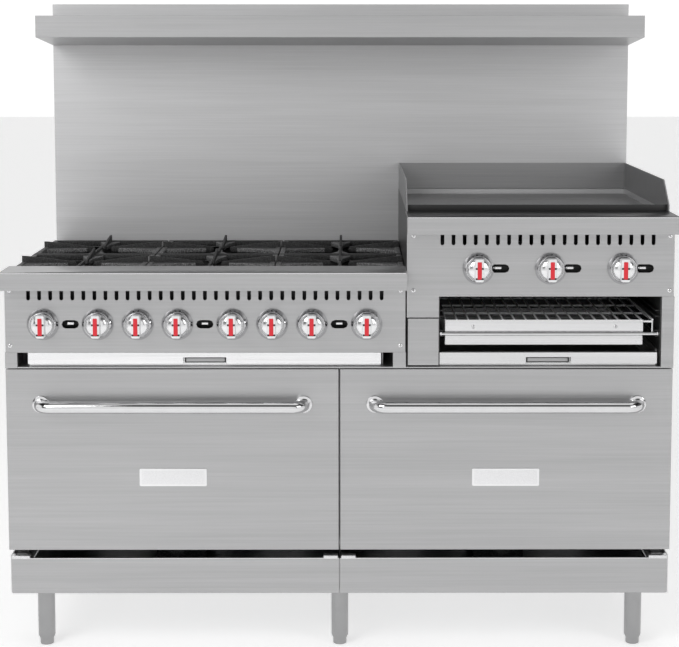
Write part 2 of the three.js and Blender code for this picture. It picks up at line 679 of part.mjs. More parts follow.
// Swaps the long edge of each face with no height for the other diagonal of the pair that shares it.
// A flat face waits until its neighbour over that edge has height, so each swap leaves one flat face fewer.
function flipFlatFaces(faces, corners) {
  const isFlat = (face) => measure(face, corners).height < FLAT;
  let swaps = 1;
  for (let pass = 0; swaps > 0 && pass < FLIP_PASSES; pass += 1) {
    swaps = 0;
    const owner = new Map();
    faces.forEach((face, i) => face.forEach((c, k) => owner.set(`${c}_${face[(k + 1) % 3]}`, i)));
    const touched = new Set();
    const dropped = new Set();
    faces.forEach((face, i) => {
      const { turn: [a, b, c], height } = measure(face, corners);
      const other = owner.get(`${b}_${a}`);
      if (height > FLAT || touched.has(i) || touched.has(other)) return;
      const d = faces[other].find((corner) => corner !== a && corner !== b);
      if (d !== c && isFlat(faces[other])) return;
      touched.add(i).add(other);
      swaps += 1;
      if (d === c) {
        dropped.add(i).add(other);
      } else {
        faces[i] = [c, a, d];
        faces[other] = [d, b, c];
      }
    });
    faces = faces.filter((face, i) => !dropped.has(i));
  }
  return faces;
}

const range = new THREE.Group();

function add(name, whole, finish, x = 0, y = 0, z = 0) {
  const { corners, faces } = weld(whole.getMesh());
  const geometry = new THREE.BufferGeometry().setFromPoints(corners);
  geometry.setIndex(flipFlatFaces(faces, corners).flat());
  const material = new THREE.MeshStandardMaterial({ ...FINISHES[finish], flatShading: true });
  const node = new THREE.Mesh(geometry, material);
  node.name = name;
  node.position.set(x, y, z);
  range.add(node);
  return node;
}

add("base_chassis", baseChassis(), "galvanized");
add("back_panel", backPanel(), "galvanized");
add("backguard", backguard(), "stainless");
add("overshelf", overshelf(), "stainless");

for (const [side, hand] of [[-1, "left"], [1, "right"]]) {
  add(`kick_plate_${hand}`, kickPlate(side), "stainless");
  add(`side_panel_${hand}`, sidePanel(side), "stainless");
  add(`oven_liner_${hand}`, ovenLiner(side), "enamel");
  add(`oven_rack_${hand}`, ovenRack(), "bright", side * OVEN.centre, 0, 405.5);
  add(`oven_burner_${hand}`, ovenBurner(), "castIron", side * OVEN.centre);
  add(`door_shell_${hand}`, doorShell(side), "stainless");
  add(`door_inner_${hand}`, doorInner(side), "stainless");
  add(`door_handle_${hand}`, doorHandle(), "bright", side * OVEN.centre, DOOR_Y, 585);
}

const legSpots = [["left", -689], ["centre", 0], ["right", 689]];
for (const [spot, x] of legSpots) {
  add(`leg_front_${spot}`, leg(), "bright", x, -293);
  add(`leg_rear_${spot}`, leg(), "bright", x, 340);
}

add("burner_box", burnerBox(), "enamel");
add("crumb_tray", slidingTray(-708, 95, [-355, -256]), "bright");
add("control_panel_left", cooktopPanel(), "stainless");
add("front_rail_left", rail(-SIDE, SECTION_X - 0.4, COOKTOP_RAIL, [
  { x0: -SIDE, x1: -SIDE + SHEET, back: FRONT + COOKTOP_RAIL.depth },
  { x0: SECTION_X - 2.2, x1: SECTION_X - 0.4, back: FRONT + COOKTOP_RAIL.depth },
]), "stainless");
add("gas_manifold", gasManifold(), "pipe");

const columnNames = ["left", "centre", "right"];
GRATE_COLUMNS.forEach((x, i) => {
  add(`burner_pair_${columnNames[i]}`, burnerPair(), "castIron", x);
  add(`grate_front_${columnNames[i]}`, grate(), "castIron", x, GRATE_ROWS[0], GRATE_Z);
  add(`grate_rear_${columnNames[i]}`, grate(), "castIron", x, GRATE_ROWS[1], GRATE_Z);
});

add("broiler_box", broilerBox(), "galvanized");
add("broiler_burner", broilerBurner(), "castIron");
add("broiler_rack", broilerRack(), "bright");
add("broiler_tray", slidingTray(228, 723, [424, 527]), "bright");
add("grease_drawer", greaseDrawer(), "stainless");
add("control_panel_right", griddlePanel(), "stainless");
add("front_rail_right", rail(SECTION_X + 0.2, SIDE, GRIDDLE_RAIL, [
  { x0: SECTION_X + 0.2, x1: SECTION_X + 2.2, back: PANEL_Y - FIT },
  { x0: SIDE - SHEET, x1: SIDE, back: FRONT + GRIDDLE_RAIL.depth },
]), "stainless");
add("griddle_plate", griddlePlate(), "griddleSteel");
add("griddle_splash", griddleSplash(), "griddleSteel");

const knobY = PANEL_Y - FIT;
const knobs = [
  ...BURNER_KNOBS.map((x, i) => [`burner_knob_${i + 1}`, x, KNOB_Z]),
  ["oven_knob_left", THERMOSTAT_KNOBS[0], KNOB_Z],
  ["oven_knob_right", THERMOSTAT_KNOBS[1], KNOB_Z],
  ...GRIDDLE_KNOBS.map((x, i) => [`griddle_knob_${i + 1}`, x, GRIDDLE_KNOB_Z]),
];
for (const [name, x, z] of knobs) {
  add(name, knob(), "bright", x, knobY, z).rotation.x = Math.PI / 2;
}

export default range;
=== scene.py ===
import math

import bmesh
import bpy
import numpy as np
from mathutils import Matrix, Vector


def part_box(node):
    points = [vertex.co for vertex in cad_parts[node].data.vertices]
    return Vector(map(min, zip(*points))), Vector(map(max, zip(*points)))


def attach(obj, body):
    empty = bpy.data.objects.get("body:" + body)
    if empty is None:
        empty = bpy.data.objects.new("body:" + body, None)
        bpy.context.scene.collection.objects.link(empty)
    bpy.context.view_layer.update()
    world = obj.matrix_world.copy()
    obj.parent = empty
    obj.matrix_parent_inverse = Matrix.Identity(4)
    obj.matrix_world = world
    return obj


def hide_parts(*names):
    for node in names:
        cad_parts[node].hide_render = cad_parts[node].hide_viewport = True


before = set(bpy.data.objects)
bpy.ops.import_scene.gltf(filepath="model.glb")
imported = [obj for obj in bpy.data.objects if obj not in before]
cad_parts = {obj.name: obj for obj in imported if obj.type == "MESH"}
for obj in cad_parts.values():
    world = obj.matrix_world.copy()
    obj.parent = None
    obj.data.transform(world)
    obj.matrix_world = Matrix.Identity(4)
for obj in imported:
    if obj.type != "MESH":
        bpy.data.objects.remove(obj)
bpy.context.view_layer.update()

scene = bpy.context.scene

MM = 0.001
WORLD_LIGHT = 1.05
FLOOR_GLOW = 0.5
FLOOR_HALF = 30.0
FACING = 0.4
BADGE_Z = 415
HINGE_COVERS = ((-755, -713), (-37, -4), (4, 37), (713, 755))
PILOT_HOLES = ((-609.6, 771), (-304.8, 771), (0, 771), (359.7, 898), (523, 898), (687, 898))
LEFT_SCREWS_X, LEFT_SCREWS_Z = (-747, 139), (722, 848)
RIGHT_SCREWS_X, RIGHT_SCREWS_Z = (168, 748), (848, 972)
HANDS = ("left", "right")


# Camera, light and floor

def add_camera():
    lens = bpy.data.cameras.new("camera")
    lens.sensor_width = 36
    lens.lens = 91.98
    lens.shift_x = -0.0257
    lens.shift_y = -0.15
    lens.clip_end = 50
    camera = bpy.data.objects.new("camera", lens)
    camera.location = (0.0261, -4.2613, 1.4002)
    camera.rotation_euler = (math.radians(90 - 5.805), 0, math.radians(-0.206))
    scene.collection.objects.link(camera)
    scene.camera = camera


def add_light(name, place, aim, size, power):
    lamp = bpy.data.lights.new(name, "AREA")
    lamp.shape = "RECTANGLE"
    lamp.size, lamp.size_y = size
    lamp.energy = power
    light = bpy.data.objects.new(name, lamp)
    light.location = place
    direction = np.array(aim) - np.array(place)
    light.rotation_euler = (
        math.atan2(math.hypot(direction[0], direction[1]), -direction[2]),
        0,
        math.atan2(-direction[0], direction[1]),
    )
    scene.collection.objects.link(light)


# Materials

class Num:
    """A number that varies over a surface. Python arithmetic on it adds Math nodes."""

    def __init__(self, finish, link):
        self.finish = finish
        self.link = link

    def math(self, operation, first, second):
        made = self.finish.node("ShaderNodeMath", {"operation": operation}, {0: first, 1: second})
        return Num(self.finish, made.outputs[0])

    def __add__(self, other):
        return self.math("ADD", self, other)

    def __sub__(self, other):
        return self.math("SUBTRACT", self, other)

    def __mul__(self, other):
        return self.math("MULTIPLY", self, other)

    def __rsub__(self, other):
        return self.math("SUBTRACT", other, self)

    __radd__ = __add__
    __rmul__ = __mul__


class Finish:
    """One node material: a Principled shader, and calls that add the nodes feeding it."""

    def __init__(self, name, **constants):
        self.material = bpy.data.materials.new(name)
        self.material.use_nodes = True
        self.tree = self.material.node_tree
        self.shader = self.tree.nodes["Principled BSDF"]
        self.place = self.node("ShaderNodeTexCoord").outputs["Object"]
        self.set(**constants)

    def node(self, kind, settings=None, inputs=None):
        made = self.tree.nodes.new(kind)
        for name, value in (settings or {}).items():
            if name == "stops":
                for stop, (position, colour) in zip(made.color_ramp.elements, value):
                    stop.position = position
                    stop.color = colour
            else:
                setattr(made, name, value)
        for socket, value in (inputs or {}).items():
            self.feed(made.inputs[socket], value)
        return made

    def feed(self, socket, value):
        if isinstance(value, Num):
            value = value.link
        if isinstance(value, bpy.types.NodeSocket):
            self.tree.links.new(value, socket)
        else:
            socket.default_value = value

    def set(self, **values):
        for name, value in values.items():
            self.feed(self.shader.inputs[name.replace("_", " ")], value)

    def stretched(self, scale):
        made = self.node("ShaderNodeMapping", {}, {"Vector": self.place, "Scale": scale})
        return made.outputs[0]

    def noise(self, where, scale=1.0, detail=4.0, roughness=0.6):
        inputs = {"Vector": where, "Scale": scale, "Detail": detail, "Roughness": roughness}
        return Num(self, self.node("ShaderNodeTexNoise", {}, inputs).outputs[0])

    def cells(self, scale):
        made = self.node("ShaderNodeTexVoronoi", {}, {"Vector": self.place, "Scale": scale})
        return made.outputs["Color"]

    def ramp(self, value, low, high, dark, light):
        stops = [(low, (*dark, 1)), (high, (*light, 1))]
        return self.node("ShaderNodeValToRGB", {"stops": stops}, {0: value}).outputs[0]

    def bump(self, height, distance, strength=1.0, rounding=0.0):
        inputs = {"Height": height, "Distance": distance, "Strength": strength}
        if rounding:
            inputs["Normal"] = self.node("ShaderNodeBevel", {"samples": 4}, {"Radius": rounding}).outputs[0]
        self.set(Normal=self.node("ShaderNodeBump", {}, inputs).outputs[0])


def grey(value):
    return (value, value, value * 1.01)


def brushed(name, tone, along, metal=0.85, rough=0.33):
    """Sheet steel brushed along one axis: long thin streaks of noise in colour, gloss and height."""
    finish = Finish(name, Metallic=metal)
    scale = [260.0, 260.0, 260.0]
    scale["xyz".index(along)] = 3.0
    streaks = finish.noise(finish.stretched(scale), detail=3.0)
    coarse = [34.0, 34.0, 34.0]
    coarse["xyz".index(along)] = 1.2
    bands = finish.noise(finish.stretched(coarse), detail=2.0)
    shade = streaks * 0.6 + bands * 0.4
    finish.set(Base_Color=finish.ramp(shade, 0.3, 0.7, grey(tone * 0.9), grey(tone * 1.07)))
    finish.set(Roughness=rough - 0.06 + streaks * 0.12)
    finish.bump(streaks, 0.00012, 0.5, rounding=0.0012)
    return finish.material


def polished(name, tone, rough):
    """Plated or polished steel with faint cloudy changes in its gloss."""
    finish = Finish(name, Metallic=1.0)
    cloud = finish.noise(finish.place, 30.0)
    finish.set(Base_Color=finish.ramp(cloud, 0.3, 0.7, grey(tone * 0.95), grey(tone)))
    finish.set(Roughness=rough + cloud * 0.05)
    finish.bump(finish.noise(finish.place, 400.0), 0.00004, 0.2)
    return finish.material


def cast_iron(name, dark, light):
    """Sand-cast iron, black with lighter grains and a pebbled skin."""
    finish = Finish(name, Metallic=0.35)
    grains = finish.noise(finish.place, 420.0, 3.0)
    finish.set(Base_Color=finish.ramp(grains, 0.42, 0.66, grey(dark), grey(light)))
    finish.set(Roughness=0.42 + grains * 0.3)
    finish.bump(grains, 0.0005, 0.6)
    return finish.material


def enamel(name, tone):
    """Vitreous enamel: dark and glossy, with a soft orange-peel skin."""
    finish = Finish(name, Metallic=0.0)
    peel = finish.noise(finish.place, 160.0, 2.0)
    finish.set(Base_Color=finish.ramp(peel, 0.35, 0.65, grey(tone), grey(tone * 1.5)))
    finish.set(Roughness=0.28 + peel * 0.12)
    finish.bump(peel, 0.0002, 0.3)
    return finish.material


def galvanized(name):
    """Zinc-coated sheet: dull grey with crystal-like patches."""
    finish = Finish(name, Metallic=0.8)
    spangle = finish.node("ShaderNodeSeparateColor", {}, {0: finish.cells(60.0)}).outputs[0]
    finish.set(Base_Color=finish.ramp(spangle, 0.0, 1.0, grey(0.2), grey(0.34)))
    finish.set(Roughness=0.42 + Num(finish, spangle) * 0.15)
    finish.bump(finish.noise(finish.place, 90.0), 0.0001, 0.3)
    return finish.material


def moulded(name, colour, rough):
    """Moulded or painted pieces with a fine matt grain."""
    finish = Finish(name)
    grain = finish.noise(finish.place, 900.0, 2.0)
    darker = tuple(c * 0.85 for c in colour)
    finish.set(Base_Color=finish.ramp(grain, 0.3, 0.7, darker, colour))
    finish.set(Roughness=rough + grain * 0.1)
    finish.bump(grain, 0.00006, 0.4)
    return finish.material


FINISHES = {
    "stainless": brushed("stainless_brushed_across", 0.44, "x"),
    "stainless_side": brushed("stainless_brushed_back", 0.56, "y"),
    # A dimmed copy of the stainless: painted shade on the cooktop rail's top and in the tray notches.
    "stainless_dim": brushed("stainless_painted_shade", 0.40, "x"),
    "tray": brushed("stainless_tray", 0.86, "x", rough=0.25),
    "griddle": brushed("griddle_ground_steel", 0.31, "x", metal=0.9, rough=0.36),
    "chrome": polished("chrome_plate", 0.7, 0.06),
    # Also drawn as thin strips along folded edges, where it is a painted highlight.
    "bright": polished("bright_steel_and_edge_highlights", 0.8, 0.16),
    "leg": polished("leg_tube_satin", 0.36, 0.12),
    "dome": polished("knob_dome_satin", 0.8, 0.16),
    "iron": cast_iron("cast_iron_black", 0.012, 0.07),
    # A lighter copy of the cast iron for the grates' side rims and webs: painted highlight where light
    # glints.
    "iron_lit": cast_iron("cast_iron_painted_glints", 0.05, 0.34),
    # Near-white and barely metallic, so the broiler grid wires show a painted highlight in the dark box.
    "wire": brushed("wire_painted_bright", 0.95, "y", metal=0.05, rough=0.3),
    # Near-black steel for thin facings on the griddle's trough lip and rail top: painted shade and dark
    # reflection.
    "trough": brushed("trough_painted_dark_reflection", 0.045, "x", metal=0.6, rough=0.4),
    # A lighter, less metallic copy of the stainless: painted light that cancels the shade the grates and
    # griddle throw on the backguard.
    "guard": brushed("stainless_guard_painted_lighter", 0.58, "x", metal=0.55, rough=0.5),
    "front": brushed("stainless_bright_front", 0.7, "x", rough=0.24),
    "shelf": brushed("stainless_shelf", 0.42, "x"),
    # Also used for a dark sheet over each tray floor, painted shade.
    "enamel": enamel("oven_enamel_and_tray_shade", 0.02),
    "zinc": galvanized("galvanized_sheet"),
    "pipe": moulded("black_pipe", (0.02, 0.02, 0.02), 0.5),
    "white": moulded("knob_grip_white", (0.85, 0.85, 0.86), 0.3),
    "red": moulded("pointer_red", (0.72, 0.015, 0.03), 0.35),
    # Knob marks, and painted shade in screw recesses and tray notches.
    "black": moulded("black_marks_and_recess_shade", (0.01, 0.01, 0.01), 0.5),
    "badge": polished("badge_satin_plate", 0.86, 0.3),
}
NODE_FINISHES = {
    "back_panel": "zinc", "broiler_box": "enamel", "broiler_tray": "front", "backguard": "guard",
    "overshelf": "shelf",
    "oven_liner": "enamel", "burner_box": "enamel", "side_panel": "stainless_side",
    "oven_burner": "iron", "burner_pair": "iron", "broiler_burner": "iron",
    "crumb_tray": "tray", "gas_manifold": "pipe", "griddle": "griddle",
    "leg": "leg", "oven_rack": "bright", "broiler_rack": "bright", "door_handle": "chrome",
    "grate": "iron", "burner_knob": "dome", "oven_knob": "dome",
}


def paint_nodes():
    for name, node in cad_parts.items():
        finish = next((f for start, f in NODE_FINISHES.items() if name.startswith(start)), "stainless")
        if name.startswith("griddle_knob"):
            finish = "dome"
        node.data.materials.clear()
        node.data.materials.append(FINISHES[finish])


# Surfaces

def grid_faces(rows, columns):
    """Quads of a grid that wraps across its columns: (i, j), (i, j + 1), (i + 1, j + 1), (i + 1, j)."""
    i = np.arange(rows - 1)[:, None]
    j = np.arange(columns)[None, :]
    below = i + 1
    beside = (j + 1) % columns
    quads = [i * columns + j, i * columns + beside, below * columns + beside, below * columns + j]
    return np.stack(np.broadcast_arrays(*quads), -1).reshape(-1, 4).tolist()


def capped(grid):
    """A tube-like grid of points closed by a flat face at each end."""
    rows, columns = grid.shape[:2]
    ends = [list(range(columns))[::-1], list(range((rows - 1) * columns, rows * columns))]
    return grid.reshape(-1, 3), grid_faces(rows, columns) + ends


def set_axis(along, across, up, axis):
    """Points from a height along an axis and two coordinates across it, in X, Y, Z order."""
    order = {"x": (along, across, up), "y": (across, along, up), "z": (across, up, along)}[axis]
    return np.stack(np.broadcast_arrays(*order), -1)


def turned(profile, centre, axis="z", sign=1, sides=32):
    """A profile of (radius, height) spun round an axis: radius times (cos a, sin a) across, height along."""
    radius, height = np.array(profile, float).T[:, :, None] * MM
    angle = np.linspace(0, 2 * math.pi, sides, endpoint=False)[None, :]
    points = set_axis(sign * height, radius * np.cos(angle), radius * np.sin(angle), axis)
    return capped(points + np.array(centre) * MM)


def offset(outline, distance):
    """An outline moved inwards: each corner goes along the mitre of its two edges' normals."""
    following = np.roll(outline, -1, 0) - outline
    following /= np.linalg.norm(following, axis=1)[:, None]
    normal = np.stack([-following[:, 1], following[:, 0]], 1)
    before = np.roll(normal, 1, 0)
    mitre = (normal + before) / (1 + (normal * before).sum(1))[:, None]
    return outline + distance * mitre


def slab(outline, low, high, edge, axis, steps=4):
    """An outline carried along an axis, with both rims rounded: at rim angle t it is moved in by
    edge * (1 - sin t) and stands edge * (1 - cos t) from the end."""
    outline = np.array(outline, float)
    turn = np.roll(outline, -1, 0)
    if (outline[:, 0] * turn[:, 1] - turn[:, 0] * outline[:, 1]).sum() < 0:
        outline = outline[::-1]
    rim = np.linspace(0, math.pi / 2, steps)
    inset = edge * (1 - np.sin(rim))
    stand = edge * (1 - np.cos(rim))
    rows = [offset(outline, d) for d in inset] + [offset(outline, d) for d in inset[::-1]]
    heights = np.concatenate([low + stand, (high - stand)[::-1]])
    flat = np.stack(rows)
    return capped(set_axis(heights[:, None], flat[:, :, 0], flat[:, :, 1], axis) * MM)


def rounded(x0, x1, y0, y1, radius, steps=5):
    """A rectangle with quarter-circle corners, counter-clockwise."""
    turns = np.linspace(0, math.pi / 2, steps)
    centres = [(x1 - radius, y0 + radius), (x1 - radius, y1 - radius), (x0 + radius, y1 - radius),
               (x0 + radius, y0 + radius)]
    arcs = [
        np.stack([cx + radius * np.cos(turns + start), cy + radius * np.sin(turns + start)], 1)
        for (cx, cy), start in zip(centres, (-math.pi / 2, 0, math.pi / 2, math.pi))
    ]
    return np.concatenate(arcs)


def tube(path, radius, sides=12):
    """A circle carried along a path: centre + radius * (cos a * side + sin a * lift), where side is
    square to the path and to a fixed direction, and lift is square to both."""
    path = np.array(path, float)
    along = np.gradient(path, axis=0)
    along /= np.linalg.norm(along, axis=1)[:, None]
    upright = np.ptp(path[:, 2]) >= np.ptp(path, axis=0).max() * 0.5
    fixed = np.array([0.0, 1.0, 0.0]) if upright else np.array([0.0, 0.0, 1.0])
    side = np.cross(along, fixed)
    side /= np.linalg.norm(side, axis=1)[:, None]
    lift = np.cross(side, along)
    angle = np.linspace(0, 2 * math.pi, sides, endpoint=False)
    ring = np.cos(angle)[None, :, None] * side[:, None, :] + np.sin(angle)[None, :, None] * lift[:, None, :]
    return capped((path[:, None, :] + radius * ring) * MM)


def bar_line(start, end, radius, sides=8):
    return tube(np.linspace(start, end, 3), radius, sides)


def piece(name, body, shapes, replaced=()):
    """One object from (points, faces) shapes, each with the name of its finish."""
    points, faces, which, finishes = [], [], [], []
    start = 0
    for (corners, polygons), finish in shapes:
        if finish not in finishes:
            finishes.append(finish)
        points.append(corners)
        faces += [[v + start for v in polygon] for polygon in polygons]
        which += [finishes.index(finish)] * len(polygons)
        start += len(corners)
    mesh = bpy.data.meshes.new(name)
    mesh.from_pydata(np.concatenate(points).tolist(), [], faces)
    mesh.polygons.foreach_set("material_index", which)
    for finish in finishes:
        mesh.materials.append(FINISHES[finish])
    work = bmesh.new()
    work.from_mesh(mesh)
    bmesh.ops.recalc_face_normals(work, faces=work.faces)
    work.to_mesh(mesh)
    work.free()
    mesh.shade_smooth()
    mesh.set_sharp_from_angle(angle=math.radians(38))
    made = bpy.data.objects.new(name, mesh)
    scene.collection.objects.link(made)
    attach(made, body)
    if replaced:
        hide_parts(*replaced)
    return made


def middle(node):
    low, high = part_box(node)
    return (np.array(low) + np.array(high)) / 2 / MM


# Knobs

def make_knob(node):
    """A chrome bezel, a satin dome and a white grip with a red pointer, all along -Y from the panel."""
    low, high = (np.array(corner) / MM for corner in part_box(node))
    x, z = (low[0] + high[0]) / 2, (low[2] + high[2]) / 2
    base = high[1]
    centre = (x, base, z)
    bezel = [
        (8, 0.5), (35, 0), (36, 1), (36, 3), (35, 5),
        (30.5, 13.5), (29, 15), (27.6, 14.6), (26.4, 13), (8, 12.5),
    ]
    arc = np.linspace(0, math.pi / 2, 9)
    dome = [(7, 13)] + [(25.6 * math.cos(a) + 0.01, 14 + 11 * math.sin(a)) for a in arc]
    grip = rounded(x - 10, x + 10, z - 26, z + 26, 4)
    front = base - 42
    stripe = rounded(x - 4.8, x + 4.8, z - 19.5, z + 19.5, 1.2)
    marks = [rounded(x - 9, x + 9, z + at - 2.2, z + at + 2.2, 1.0) for at in (4.5, -18.5)]
    shapes = [
        (turned(bezel, centre, "y", -1, 40), "chrome"),
        (turned(dome, centre, "y", -1, 40), "dome"),
        (slab(grip, front, base - 17, 2.5, "y"), "white"),
        (slab(stripe, front - 0.8, front + 6, 0.5, "y"), "red"),
        *[(slab(mark, front - 0.3, front + 14, 0.4, "y"), "black") for mark in marks],
    ]
    piece(node + "_detailed", node + "_turning", shapes, [node])


# Door handles, badges and screws

def make_handle(hand):
    """A round bar along X whose ends bend back to the door in quarter circles, on small round bosses."""
    x, _, z = middle(f"door_handle_{hand}")
    low, high = (np.array(corner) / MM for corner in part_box(f"door_handle_{hand}"))
    door = high[1]
    radius, bend = 14, 28
    half = (high[0] - low[0]) / 2 - radius
    front = low[1] + radius
    turn = np.linspace(0, math.pi / 2, 9)
    left = np.stack([-half + bend - bend * np.cos(turn), front + bend - bend * np.sin(turn)], 1)
    flat = np.concatenate([[(-half, door)], left, (left * (-1, 1))[::-1], [(half, door)]])
    path = np.stack([x + flat[:, 0], flat[:, 1], np.full(len(flat), z)], 1)
    boss = [(0.1, 0), (19, 0), (20, 1), (19, 3.5), (14, 5), (0.1, 5)]
    shapes = [(tube(path, radius, 24), "chrome")]
    shapes += [(turned(boss, (x + s * half, door + 0.3, z), "y", -1), "chrome") for s in (-1, 1)]
    piece(f"door_bar_{hand}", f"door_{hand}", shapes, [f"door_handle_{hand}"])


def make_badge(hand):
    """A plain plate with a raised border, left blank."""
    x = middle(f"door_shell_{hand}")[0]
    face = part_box(f"door_shell_{hand}")[0][1] / MM
    z = BADGE_Z
    plate = rounded(x - 77, x + 77, z - 20.5, z + 20.5, 3)
    field = rounded(x - 72, x + 72, z - 16, z + 16, 2)
    shapes = [
        (slab(plate, face - 1.6, face + 0.1, 0.6, "y"), "badge"),
        (slab(field, face - 2.0, face - 0.5, 0.3, "y"), "white"),
    ]
    piece(f"badge_plate_{hand}", f"door_{hand}", shapes)


def screw(x, y, z, radius=5):
    """A pan-head screw facing -Y, with a crossed recess drawn as black inlays, painted shade."""
    head = [(0.1, 0), (radius, 0), (radius, 0.6), (radius * 0.8, 1.7), (radius * 0.4, 2.3), (0.1, 2.4)]
    arm = radius * 0.6
    half = 0.45
    slots = [
        rounded(x - arm, x + arm, z - half, z + half, 0.3, 3),
        rounded(x - half, x + half, z - arm, z + arm, 0.3, 3),
    ]
    # The cross recess is black slabs set into the head: painted shade.
    return [(turned(head, (x, y, z), "y", -1, 16), "bright")] + [
        (slab(slot, y - 2.5, y - 1.5, 0.1, "y", 2), "black") for slot in slots
    ]


def make_screws():
    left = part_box("control_panel_left")[0][1] / MM
    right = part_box("control_panel_right")[0][1] / MM
    spots = [(x, left, z) for x in LEFT_SCREWS_X for z in LEFT_SCREWS_Z]
    spots += [(x, right, z) for x in RIGHT_SCREWS_X for z in RIGHT_SCREWS_Z]
    piece("panel_screws", "range_body", sum([screw(*spot) for spot in spots], []))


# Legs

def make_leg(node):
    """A leg tube with a tapered, adjustable foot."""
    x, y, _ = middle(node)
    profile = [
        (0.1, 0), (14, 0), (15.6, 1), (16, 3), (16, 13), (16.4, 14), (19.6, 21), (20, 22.5), (20, 128),
        (20.6, 130), (24, 133), (38, 134.5), (40, 135.5), (40, 138), (0.1, 138.3),
    ]
    shapes = [(turned(profile, (x, y, 0), sides=40), "leg")]
    piece(node + "_turned", "range_body", shapes, [node])


# Grates

def make_grate(node):
    """One cast grate: a square rim, four webs tapering to the middle and a thin fin on each web."""
    low, high = (np.array(corner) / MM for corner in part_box(node))
    x, y = (low[:2] + high[:2]) / 2
    half = (high[0] - low[0]) / 2
    z = low[2]
    rim = 13
    shapes = []
    for side in (-1, 1):
        across = rounded(x - half, x + half, *sorted((y + side * half, y + side * (half - rim))), 3)
        down = rounded(*sorted((x + side * half, x + side * (half - rim))), y - half, y + half, 3)
        shapes.append((slab(across, z, z + 15, 2.2, "z"), "iron"))
        # The side rims and the webs take the lighter iron: painted glints.
        shapes.append((slab(down, z, z + 14.6, 2.2, "z"), "iron_lit"))
    web = np.array([
        (half - 6, -50), (half - 6, 50), (half - 34, 40), (78, 13),
        (40, 8), (40, -8), (78, -13), (half - 34, -40),
    ])
    tall = np.array([(half - 1, 2), (half - 1, 29), (half - 13, 28.5), (24, 15.6), (20, 8), (24, 2)])
    front_fin = np.array([(half - 1, 2), (half - 1, 17), (half - 20, 19.5), (24, 19.5), (20, 8), (24, 2)])
    for turn in range(4):
        c, s = round(math.cos(turn * math.pi / 2)), round(math.sin(turn * math.pi / 2))
        narrow = 1.0 if c else 0.55
        placed = (web * (1, narrow)) @ np.array([[c, s], [-s, c]]) + (x, y)
        shapes.append((slab(placed, z + 1, z + 12.5, 2, "z"), "iron_lit"))
        sign = c + s
        axis = "y" if c else "x"
        centre = x if c else y
        level = y if c else x
        fin = front_fin if s == -1 else tall
        outline = fin * (sign, 1) + (centre, z)
        shapes.append((slab(outline, level - 3, level + 3, 0.8, axis), "iron"))
    piece(node + "_cast", node + "_loose", shapes, [node])


# Racks

def make_oven_rack(hand):
    """Plated wires: a rim, two cross bars below and a row of wires front to back on top."""
    low, high = (np.array(corner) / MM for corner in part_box(f"oven_rack_{hand}"))
    z = low[2] + 3
    corners = [(low[0] + 3, low[1] + 3, z), (high[0] - 3, low[1] + 3, z), (high[0] - 3, high[1] - 3, z),
               (low[0] + 3, high[1] - 3, z)]
    shapes = [(bar_line(a, b, 3), "bright") for a, b in zip(corners, corners[1:] + corners[:1])]
    for y in (low[1] + 170, high[1] - 170):
        shapes.append((bar_line((low[0] + 3, y, z), (high[0] - 3, y, z), 3), "bright"))
    for x in np.linspace(low[0] + 28, high[0] - 28, 24):
        shapes.append((bar_line((x, low[1] + 3, z + 3.5), (x, high[1] - 3, z + 3.5), 2, 6), "bright"))
    piece(f"oven_rack_wires_{hand}", "range_body", shapes, [f"oven_rack_{hand}"])


def make_broiler_rack():
    """The broiler's sliding rack: side rods in the guides, a folded front sheet and a grid of wires."""
    low, high = (np.array(corner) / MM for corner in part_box("broiler_rack"))
    x0, x1, back = low[0] + 4, high[0] - 4, high[1] - 4
    front, rod_z, grid_z = low[1] + 4, 746, 776
    rods = [(x0, front), (x1, front), (x1, back), (x0, back)]
    shapes = [
        (bar_line((*a, rod_z), (*b, rod_z), 4, 12), "chrome") for a, b in zip(rods, rods[1:] + rods[:1])
    ]
    sheet = front + 1.5
    shapes += [
        (slab(rounded(241, 693, 751, 778, 1), sheet + 2, sheet + 4, 0.6, "y"), "front"),
        (slab(rounded(241, 693, 719, 750.5, 1), sheet + 7, sheet + 9, 0.6, "y"), "front"),
        (slab(rounded(241, 693, 749, 752, 1), sheet + 2, sheet + 9, 0.6, "y"), "front"),
    ]
    for x in (305, 630):
        shapes += screw(x, sheet + 2, 762, 4)
    for x in (x0 + 9, x1 - 9):
        shapes.append((bar_line((x, front + 8, grid_z - 3), (x, back, grid_z - 3), 3), "bright"))
        for y in (front + 9, back - 2):
            shapes.append((tube([(x, y, rod_z), (x, y, 760), (x, y, grid_z)], 3, 8), "bright"))
    # The grid wires use the near-white wire finish: painted highlight.
    for y in np.linspace(front + 9, back - 4, 6):
        shapes.append((bar_line((x0 + 8, y, grid_z - 3), (x1 - 8, y, grid_z - 3), 2.4), "wire"))
    for x in np.linspace(x0 + 9, x1 - 9, 19):
        shapes.append((bar_line((x, front + 7, grid_z + 1), (x, back - 2, grid_z + 1), 2.2, 6), "wire"))
    piece("broiler_rack_wires", "broiler_rack_sliding", shapes, ["broiler_rack"])


# Trim

